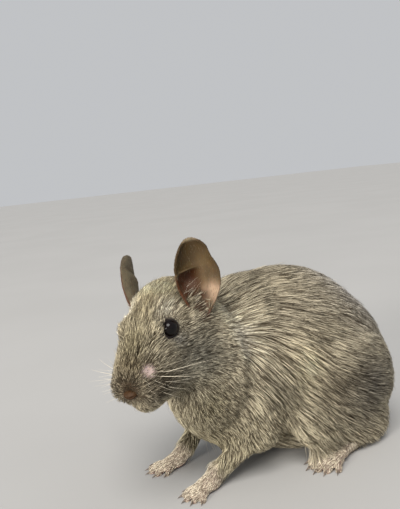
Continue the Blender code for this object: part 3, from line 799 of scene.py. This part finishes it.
# How many tips stand off and how far, and how much the locks differ in shade.
LOOSE = {"head nose eye": (0.12, 0.9, 0.32), "tail_brush": (0.3, 1.0, 0.27)}
LESS_LOOSE = (0.07, 0.5, 0.27)
GUARD_SHARE = 0.22  # how many locks are finer, longer hairs that lie on top
CLUMP_PULL = 0.34  # how far a clump draws its locks together
PATCH = 0.003  # the size of a lock's place in the map that the bake uses
RINGS = {3: (0.0, 0.36, 0.72), 2: (0.0, 0.5)}  # where the rings are, as shares of a lock's length
RING_WIDTH = {3: (0.75, 1.0, 0.82), 2: (0.85, 0.85)}
EYE_CLEAR = 2.72  # how far from the line of its look an eye is clear of hair, in mm
MOST_ROOM = 1.15  # how far the highest locks reach, as a share of the room over the hide

hide.data.calc_loop_triangles()
corners = rows_of(hide.data.loop_triangles, "vertices", 3, np.int32)
hide_map = rows_of(hide.data.uv_layers["OFBake"].data, "uv", 2)
corner_map = hide_map[rows_of(hide.data.loop_triangles, "loops", 3, np.int32)]
ends = places[corners[:, 1]] - places[corners[:, 0]], places[corners[:, 2]] - places[corners[:, 0]]
areas = np.linalg.norm(np.cross(*ends), axis=1) / 2 / MM**2
hide_tree = BVHTree.FromPolygons([Vector(place) for place in places], corners.tolist())
triangle_kind = np.array([kind_of(name) for name in node_names])[part[corners[:, 0]]]


def coat_field(column, rounds):
    """One column of COAT at each vertex, evened out over the joins between parts."""
    row = [COAT[kind_of(name)][column] for name in node_names]
    return spread(np.array(row)[part], edges, rounds)


density, long_hair, wide_hair, clump_size = (
    coat_field(column, rounds) for column, rounds in enumerate((2, 14, 14, 14))
)
on_head = is_part["head"] | is_part["nose"]
muzzle = near(in_head, (0, -36, -12), (9, 12, 10)) * on_head
chin = near(in_head, (0, -29, -25), (8, 8, 4.5)) * on_head
close_to_eye = bounded((120 - eye_angle) / 35)
long_hair *= (1 - 0.62 * muzzle) * (1 - 0.62 * close_to_eye) * (1 - 0.1 * before_ear) * (1 + 0.35 * chin)
long_hair *= 1 - 0.65 * np.exp(-(from_spot / 4.4) ** 4)
wide_hair *= (1 - 0.25 * muzzle) * (1 - 0.25 * close_to_eye)
density *= (1 + 0.6 * muzzle) * (1 + 0.5 * close_to_eye) * (1 - 0.85 * cup) * (1 - 0.95 * bare_spot)
density *= 1 - bare_lid
from_nose = np.linalg.norm((in_head - np.array(NOSE_MIDDLE)) / (3.0, 3.4, 2.1), axis=1)
density *= 1 - bounded(1.6 - 1.2 * from_nose)
density = np.where(is_foot & (normals[:, 2] < -0.35), 0, density)
density = np.where(is_ear, density * np.where(inside > 0.5, 0.4, 1.5), density)
density *= 0.35 + 0.65 * bounded((places[:, 2] / MM - 0.4) / 1.2)
room = np.where(is_ear, 0.16, np.maximum(coat_room, 0.22)) * (1 + 0.3 * on_head * (1 - close_to_eye))
room += 0.6 * near(in_head, (0, -20, 2), (8, 12, 7)) * on_head * (1 - close_to_eye)
room += 0.7 * near(in_head, (0, -28, -3), (6, 6, 5)) * on_head
room += 1.1 * near_both(in_head, (5.5, -14, 5), (4.5, 7, 3.5)) * on_head
rng = np.random.default_rng(20)


def roots_on(chosen, per_mm2):
    """Places drawn evenly over the chosen triangles, by how dense the coat is."""
    weight = np.where(chosen, areas * per_mm2[corners].mean(1), 0)
    total = np.cumsum(weight)
    count = int(total[-1])
    marks = (np.arange(count) + rng.random(count)) / count * total[-1]
    face = np.searchsorted(total, marks, side="right").clip(0, len(weight) - 1)
    a, b = rng.random(count), rng.random(count)
    over = a + b > 1
    a[over], b[over] = 1 - a[over], 1 - b[over]
    return SimpleNamespace(count=count, face=face, share=np.stack([1 - a - b, a, b], 1))


def at_roots(values, locks):
    """A value of the hide's vertices at the roots."""
    picked = values[corners[locks.face]]
    return (picked * (locks.share if picked.ndim == 2 else locks.share[:, :, None])).sum(1)


def noise_at(points, size, seed):
    """A smooth random value from about -1 to 1 that changes over about that size."""
    waves = np.random.default_rng(seed)
    total = np.zeros(len(points))
    for _ in range(10):
        total += np.sin(points @ (waves.normal(size=3) / size) + waves.random() * tau)
    return total / 3.2


def clear_of_eyes(points):
    """Shortens the locks that would lie over an eyeball, and moves their points out to its lid."""
    for side in SIDES:
        for last in (False, True):
            local = in_frame(points.reshape(-1, 3), eye_frames[side])
            aside = np.linalg.norm(local[:, :2], axis=1)
            over = (aside < EYE_CLEAR) & (local[:, 2] > 0) & (local[:, 2] < 8)
            if last:
                local[over, :2] *= (EYE_CLEAR / np.maximum(aside[over], 0.05))[:, None]
                points.reshape(-1, 3)[over] = out_of_frame(local[over], eye_frames[side])
            else:
                crossing = over.reshape(points.shape[:2]).any(1)
                points[crossing] = points[crossing, :1] + 0.45 * (points[crossing] - points[crossing, :1])
    return points


def lock_faces(rings):
    """The triangles of one lock: a cap at the root, the sides, and a point."""
    faces = [(0, 2, 1)]
    for low in range(0, 3 * rings - 3, 3):
        for i in range(3):
            j = (i + 1) % 3
            faces += [(low + i, low + j, low + 3 + j), (low + i, low + 3 + j, low + 3 + i)]
    top = 3 * rings - 3
    return np.array(faces + [(top + i, top + (i + 1) % 3, 3 * rings) for i in range(3)])


def sow(kinds, half):
    """The roots of one piece's locks, on one half of the animal or on both, and the size of each."""
    middle_x = (in_head if "head" in kinds else in_body)[corners[:, 0], 0]
    locks = roots_on(np.isin(triangle_kind, kinds.split()) & (middle_x * half >= 0), density)
    count = locks.count
    locks.root, locks.normal = at_roots(places, locks), unit(at_roots(normals, locks))
    locks.along = laid(at_roots(way, locks), locks.normal)
    locks.guard = rng.random(count) < GUARD_SHARE
    locks.length = at_roots(long_hair, locks) * MM * (0.72 + 0.5 * rng.random(count))
    locks.length *= np.where(locks.guard, 1.15, 1.0)
    locks.width = at_roots(wide_hair, locks) * MM * (0.75 + 0.5 * rng.random(count))
    locks.width *= np.where(locks.guard, 0.6, 1.0)
    locks.clump = at_roots(clump_size, locks) * MM
    locks.lifted = np.where(locks.guard, 0.95 + 0.20 * rng.random(count), 0.45 + 0.6 * rng.random(count))
    few, most, locks.contrast = LOOSE.get(kinds, LESS_LOOSE)
    locks.stray = np.where(rng.random(count) < few, most * rng.random(count), 0)
    return locks


def choose_leaders(locks):
    """Every so many locks one leads a clump, and the others near it follow it and turn with it."""
    apart = np.maximum(1, (locks.clump / MM) ** 2 * at_roots(density, locks) * 0.9)
    leads = np.flatnonzero(rng.random(locks.count) < 1 / apart)
    tree = KDTree(len(leads))
    for number, index in enumerate(leads):
        tree.insert(locks.root[index] + 0.25 * locks.length[index] * locks.along[index], number)
    tree.balance()
    locks.leader = leads[[tree.find(place)[1] for place in locks.root]]
    locks.lead_turn = rng.normal(size=locks.count)[locks.leader]
    turn = 0.075 * locks.lead_turn + 0.06 * rng.normal(size=locks.count)
    turn += 0.09 * noise_at(locks.root, 7 * MM, 3)
    side = np.cross(locks.normal, locks.along)
    locks.along = unit(locks.along * np.cos(turn)[:, None] + side * np.sin(turn)[:, None])


def centre_lines(locks, shares):
    """Each lock's line, over the hide and drawn to its leader, and the way up at each step of it."""
    height = at_roots(room, locks) * MM * locks.lifted * MOST_ROOM
    line, ups = [], []
    for f in shares:
        over = locks.root + locks.along * (locks.length * f)[:, None]
        hits = [hide_tree.find_nearest(place) for place in over]
        up = unit(0.6 * locks.normal + 0.4 * np.array([hit[1] for hit in hits]))
        lift = height * (1 - (1 - f) ** 2.4) * (1 - 0.16 * f * f + locks.stray * f**3)
        lift -= 0.15 * MM if f == 0 else 0
        line.append(np.array([hit[0] for hit in hits]) + up * lift[:, None])
        ups.append(up)
    pull = CLUMP_PULL * (0.6 + 0.4 * rng.random(locks.count)) * np.where(locks.guard, 0.3, 1.0)
    for step, f in enumerate(shares):
        gap = line[step][locks.leader] - line[step]
        too_far = np.linalg.norm(gap, axis=1) > 1.6 * locks.clump
        line[step] += gap * (np.where(too_far, 0.1, 1.0) * pull * f**1.4)[:, None]
    return line, ups


def blade_corners(locks, line, ups, rings):
    """The corners of each lock: three round each ring, and its point."""
    sides = []
    for step in range(rings):
        forward = unit(line[step + 1] - line[max(step - 1, 0)] + 1e-9)
        sideways = unit(np.cross(ups[step], forward))
        upward = np.cross(forward, sideways)
        for angle in (90, 210, 330):
            off = sideways * cos(radians(angle)) + upward * sin(radians(angle)) * 0.75
            sides.append(line[step] + off * (locks.width * RING_WIDTH[rings][step] * 0.5)[:, None])
    return np.stack(sides + [line[-1]], 1)


def lock_mesh(name, points, faces):
    """One mesh of all the locks, from the corners of each and the triangles of one."""
    count, each = points.shape[:2]
    index = (np.arange(count)[:, None, None] * each + faces[None]).reshape(-1)
    mesh = bpy.data.meshes.new(name)
    mesh.vertices.add(count * each)
    mesh.vertices.foreach_set("co", points.astype(np.float32).ravel())
    mesh.loops.add(len(index))
    mesh.loops.foreach_set("vertex_index", index.astype(np.int32))
    mesh.polygons.add(len(index) // 3)
    mesh.polygons.foreach_set("loop_start", np.arange(0, len(index), 3, dtype=np.int32))
    mesh.update(calc_edges=True)
    mesh.polygons.foreach_set("use_smooth", np.ones(len(index) // 3, bool))
    return mesh


def put_on_map(mesh, locks, faces, high):
    """The bake's map: each lock is a small patch at its root's place on the hide's own map."""
    across, along = [0.0, 0.5, 1.0] * (len(high) // 3) + [0.5], high.copy()
    along[1] += 0.12  # so that the cap at the root isn't flat on the map
    patch = np.stack([across, along], 1) * PATCH
    spot = (corner_map[locks.face] * locks.share[:, :, None]).sum(1)
    spots = np.repeat(spot, len(faces) * 3, axis=0) + np.tile(patch[faces.ravel()], (locks.count, 1))
    mesh.uv_layers.new(name="OFBake").data.foreach_set("uv", spots.astype(np.float32).ravel())


def shade_of(locks):
    """How light each lock is, from 0 to 1."""
    pale = at_roots(tone, locks).mean(1) - 0.42
    shade = 0.47 + 0.35 * pale + locks.contrast * rng.normal(size=locks.count)
    shade += 0.04 * locks.lead_turn + 0.04 * noise_at(locks.root, 2.4 * MM, 7)
    shade += 0.25 * (locks.lifted - 0.8)
    return bounded(shade + np.where(locks.guard, 0.12 * rng.choice((-1.6, 1.0), locks.count), 0))


def grow(name, kinds, half, rings):
    """Makes one piece of the coat."""
    locks = sow(kinds, half)
    choose_leaders(locks)
    line, ups = centre_lines(locks, (*RINGS[rings], 1.0))
    points = blade_corners(locks, line, ups, rings)
    if "head" in kinds:
        points = clear_of_eyes(points)
    points[:, :, 2] = np.maximum(points[:, :, 2], FLOOR_GAP)
    faces = lock_faces(rings)
    high = np.array([*np.repeat(RINGS[rings], 3), 1.0])
    mesh = lock_mesh(name, points, faces)
    put_on_map(mesh, locks, faces, high)
    coat = bpy.data.objects.new(name, mesh)
    bpy.context.scene.collection.objects.link(coat)
    shade = shade_of(locks)
    black_tip = rng.random(locks.count)
    by_lock = [np.repeat(value, len(high)) for value in (shade, black_tip)]
    save_colour(coat, "tone", np.repeat(at_roots(tone, locks), len(high), axis=0))
    save_colour(coat, "lock", np.stack([np.tile(high, locks.count), *by_lock], 1))
    return coat


coats = [grow(name, *row) for name, row in PIECES.items()]

fur = Finish("agouti_hair", Roughness=0.6, Specular_IOR_Level=0.25)
lock = fur.attribute("lock", "Vector")
parted = fur.node("ShaderNodeSeparateXYZ", [lock])
along, shade, black_tip = (Wire(fur, parted.socket.node.outputs[axis]) for axis in range(3))
tip_tone = fur.attribute("tone")
light = fur.mix(1.0, fur.mix(1.0, tip_tone, (1.5, 1.48, 1.45), "MULTIPLY"), (0.93, 0.87, 0.72), "DARKEN")
dark = fur.mix(1.0, tip_tone, (0.26, 0.23, 0.20), "MULTIPLY")
root_colour = fur.mix(1.0, tip_tone, (0.20, 0.175, 0.15), "MULTIPLY")
banded = fur.mix(along.between(0.08, 0.55), root_colour, fur.mix(shade.between(0.14, 0.86), dark, light))
black = black_tip.between(0.84, 0.86) * along.between(0.70, 0.95) * 0.75
fur.colour(fur.mix(black, banded, (0.035, 0.03, 0.026)))
fur.roughness(0.68 - 0.14 * along)
fur.on(*coats)
for coat in coats:
    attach(coat, "root")

# The eyes: wet, glossy balls, black with a trace of dark brown, with a slightly raised clear front.
# They sit in the sockets behind the lids.
eyes = []
for side in SIDES:
    bpy.ops.mesh.primitive_uv_sphere_add(segments=48, ring_count=32, radius=EYE_RADIUS)
    ball = bpy.context.object
    for vert in ball.data.vertices:
        front = max(0.0, vert.co.z / EYE_RADIUS - 0.55) / 0.45
        vert.co *= 1 + 0.03 * front**0.8
    ball.data.transform(eye_frames[side])
    ball.name = ball.data.name = f"eyeball_{side}"
    smooth(ball)
    eyes.append(ball)
gloss = Finish("eye_gloss", Roughness=0.03, Specular_IOR_Level=0.22)
deep_brown = gloss.noise(420.0, 2.0).between(0.35, 0.7)
gloss.colour(gloss.mix(deep_brown, (0.0016, 0.0012, 0.0012), (0.0045, 0.0022, 0.0020)))
gloss.on(*eyes)
for side, ball in zip(SIDES, eyes):
    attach(ball, "root")
    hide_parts(f"eye_{side}")

# The whiskers and the long hairs of the ears: stiff single hairs, tapered to a point. The whiskers
# grow in four rows on each side of the muzzle, short in front and long behind. The ear's hairs grow
# from its front edge and lie over its hollow.
WHISKER_ROWS = 4
WHISKERS_IN_ROW = 4
EAR_HAIRS = 14
HAIR_STEPS = 8


def thin_hair(points, thick):
    """A five-sided hair along these points, closed at both ends."""
    bpy.ops.mesh.primitive_cylinder_add(vertices=5, radius=1, depth=1)
    hair = bpy.context.object
    with editing(hair):
        for step in range(1, len(points) - 1):
            bpy.ops.mesh.bisect(plane_co=(0, 0, step / (len(points) - 1) - 0.5), plane_no=(0, 0, 1))
            bpy.ops.mesh.select_all(action="SELECT")
    for vert in hair.data.vertices:
        step = round((vert.co.z + 0.5) * (len(points) - 1))
        ahead = (points[min(step + 1, len(points) - 1)] - points[max(step - 1, 0)]).normalized()
        side = ahead.cross(Vector((0.3, 0.2, 1))).normalized()
        taper = thick * (1 - 0.8 * step / (len(points) - 1))
        vert.co = points[step] + (side * vert.co.x + side.cross(ahead) * vert.co.y) * taper
    return hair


def bent_line(start, ahead, length, droop):
    """Points from a root along a way, bending by droop at the far end."""
    shares = [step / HAIR_STEPS for step in range(HAIR_STEPS + 1)]
    return [start + ahead * length * t + droop * length * t * t for t in shares]


hairs = []
wild = np.random.default_rng(5)
turn_head = HEAD.to_3x3()
for side, sign in SIDES.items():
    for row in range(WHISKER_ROWS):
        for column in range(WHISKERS_IN_ROW):
            pad = Vector((sign * (5.5 + 1.3 * column), -33.0 + 2.0 * column + 0.5 * row, -9.6 - 2.2 * row))
            root = hide_tree.find_nearest(HEAD @ (pad * MM))[0]
            spring = wild.normal(size=3) * 0.06
            out = Vector((sign * 0.85, -0.62 + 0.37 * column + spring[0], 0.03 - 0.05 * row + spring[1]))
            out = (turn_head @ out).normalized()
            length = (6 + (4.2 if row == 1 else 2.0) * column + 12 * spring[2]) * MM
            droop = turn_head @ Vector((0, 0.14, -0.07))
            thick = (0.085 if row == 1 and column > 1 else 0.04) * MM
            hairs.append(thin_hair(bent_line(root - out * 0.5 * MM, out, length, droop), thick))
    place = ear_place(side)
    for number in range(EAR_HAIRS):
        share = number / (EAR_HAIRS - 1)
        spring = wild.normal(size=3)
        edge = ear_point(-0.92 + 0.5 * wild.random(), 0.02 + 0.34 * share)
        root = place @ (edge + Vector((0, -0.2, 0)) * MM)
        out = Vector((0.75 + 0.3 * spring[0], -0.30 - 0.15 * abs(spring[1]), 0.85 + 0.3 * spring[2]))
        out = (place.to_3x3() @ out.normalized()).normalized()
        droop = place.to_3x3() @ Vector((0.1, 0.18, 0))
        hairs.append(thin_hair(bent_line(root, out, (4.0 + 3.0 * wild.random()) * MM, droop), 0.032 * MM))
whiskers = one_piece("whiskers", hairs)
outwards(whiskers)
smooth(whiskers)
cream = Finish("whisker_hair", Roughness=0.4)
cream.colour(cream.mix(cream.noise(300.0).between(0.3, 0.7), (0.74, 0.68, 0.54), (0.58, 0.51, 0.38)))
cream.on(whiskers)
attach(whiskers, "root")

# The claws: small curved points of brown horn, one on each toe. They grow from the toe's tip and
# bend down to the floor.
claws = []
for pad, ahead, radius in toes:
    long = radius * 2.4
    bpy.ops.mesh.primitive_cone_add(vertices=12, radius1=radius * 0.5, radius2=radius * 0.05, depth=long)
    claw = bpy.context.object
    with editing(claw):
        bpy.ops.mesh.subdivide(number_cuts=3)
    for vert in claw.data.vertices:
        vert.co.y -= radius * 0.75 * (vert.co.z / long + 0.5) ** 2
    turn = Matrix((ahead.cross(Vector((0, 0, 1))), Vector((0, 0, 1)), ahead)).transposed().to_4x4()
    place = pad + ahead * radius * 1.75 + Vector((0, 0, radius * 0.15))
    claw.data.transform(Matrix.Translation(place) @ turn)
    claws.append(claw)
claws = one_piece("claws", claws)
outwards(claws)
smooth(claws)
horn = Finish("claw_horn", Roughness=0.35)
horn.colour(horn.mix(horn.noise(900.0).between(0.3, 0.7), (0.06, 0.045, 0.035), (0.16, 0.12, 0.09)))
horn.on(claws)
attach(claws, "root")

# The nose pad: bare, damp and finely grained, with two comma-shaped nostrils and a groove below. It
# is set into the hide at the tip of the muzzle.
NOSE_HALF = Vector((2.5, 2.1, 1.6)) * MM
bpy.ops.mesh.primitive_uv_sphere_add(segments=64, ring_count=48, radius=1)
nose = bpy.context.object
for vert in nose.data.vertices:
    x, y, z = vert.co
    front = y < 0
    nostril = hump(abs(x), 0.52, 0.19) * hump(z + 0.10 - 0.35 * (abs(x) - 0.5), 0, 0.15) * front
    groove = hump(x, 0, 0.09) * (z < 0.35) * front
    wing = hump(abs(x), 0.60, 0.24) * hump(z, 0.25, 0.2) * front
    push = (0.85 * nostril + 0.30 * groove - 0.25 * wing) * MM
    vert.co = Vector((x * (1 - 0.3 * max(0.0, -z)), y, z)) * NOSE_HALF + Vector((0, push, 0))
nose.data.transform(HEAD @ Matrix.Translation(NOSE_MIDDLE * MM) @ turned(-10, "X"))
nose.name = nose.data.name = "nose_pad"
smooth(nose)
damp = Finish("nose_skin", Roughness=0.45, Specular_IOR_Level=0.18)
grain = damp.noise(2600.0, 2.0)
damp.colour(damp.mix(grain.between(0.3, 0.7), (0.049, 0.023, 0.008), (0.032, 0.015, 0.005)))
damp.roughness(0.42 + 0.2 * grain)
damp.bump(grain, 0.4, 0.0001)
damp.on(nose)
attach(nose, "root")

# The floor, the studio's soft lights, and the camera at the photograph's place. The camera looks at
# the animal's left front from a little above, rolled slightly to one side.
bpy.ops.mesh.primitive_plane_add(size=14)
floor = bpy.context.object
floor.name = floor.data.name = "floor"
pale = Finish("pale_floor", Roughness=0.8, Specular_IOR_Level=0.2)
pale.colour(pale.mix(pale.noise(6.0).between(0.3, 0.7), (0.40, 0.395, 0.385), (0.385, 0.38, 0.37)))
pale.on(floor)

scene = bpy.context.scene
scene.view_settings.view_transform = "Standard"
world = bpy.data.worlds.new("studio")
scene.world = world
world.use_nodes = True
world.node_tree.nodes["Background"].inputs["Color"].default_value = (0.95, 0.97, 1.0, 1)
world.node_tree.nodes["Background"].inputs["Strength"].default_value = 0.56

AZIMUTH, ELEVATION, ROLL = radians(60), radians(7), radians(6)
ASIDE, ABOVE, AWAY = -21.6 * MM, 81.6 * MM, 262.0 * MM  # the camera's place from the body's origin
PHOTO_WIDTH, PHOTO_HEIGHT = 400, 509
FOCAL_PIXELS = 640
right = Vector((cos(AZIMUTH), sin(AZIMUTH), 0))
level = Vector((-sin(AZIMUTH), cos(AZIMUTH), 0))
up = Vector((0, 0, 1))
forward = level * cos(ELEVATION) - up * sin(ELEVATION)
upright = level * sin(ELEVATION) + up * cos(ELEVATION)
camera_place = BODY @ (right * ASIDE + upright * ABOVE - forward * AWAY)
camera_right = right * cos(ROLL) - upright * sin(ROLL)
camera_up = right * sin(ROLL) + upright * cos(ROLL)
bpy.ops.object.camera_add()
camera = bpy.context.object
turn = Matrix((camera_right, camera_up, -forward)).transposed().to_4x4()
camera.matrix_world = Matrix.Translation(camera_place) @ turn
camera.data.sensor_width = 36
camera.data.lens = FOCAL_PIXELS * camera.data.sensor_width / max(PHOTO_WIDTH, PHOTO_HEIGHT)
camera.data.clip_start = 0.01
scene.camera = camera


def lamp(kind, name, shines, **settings):
    """A lamp that shines along this way."""
    bpy.ops.object.light_add(type=kind)
    made = bpy.context.object
    made.name = name
    made.rotation_mode = "QUATERNION"
    made.rotation_quaternion = shines.to_track_quat("-Z", "Y")
    for setting, value in settings.items():
        setattr(made.data, setting, value)
    return made


# The key light is a round lamp, left of the camera's line, above the head and on the camera's side.
head_middle = HEAD @ (Vector((0, -10, 0)) * MM)
key_place = head_middle + (right * -1.05 + up * 0.34 + level * -1.45)
key = lamp(
    "AREA", "key", head_middle - key_place, shape="DISK", size=0.48, energy=34.7, color=(1.0, 0.96, 0.90)
)
key.location = key_place
shines = right * 0.05 - up + level * 0.70
lamp("SUN", "overhead", shines, angle=radians(35), energy=2.85, color=(1.0, 0.97, 0.93))
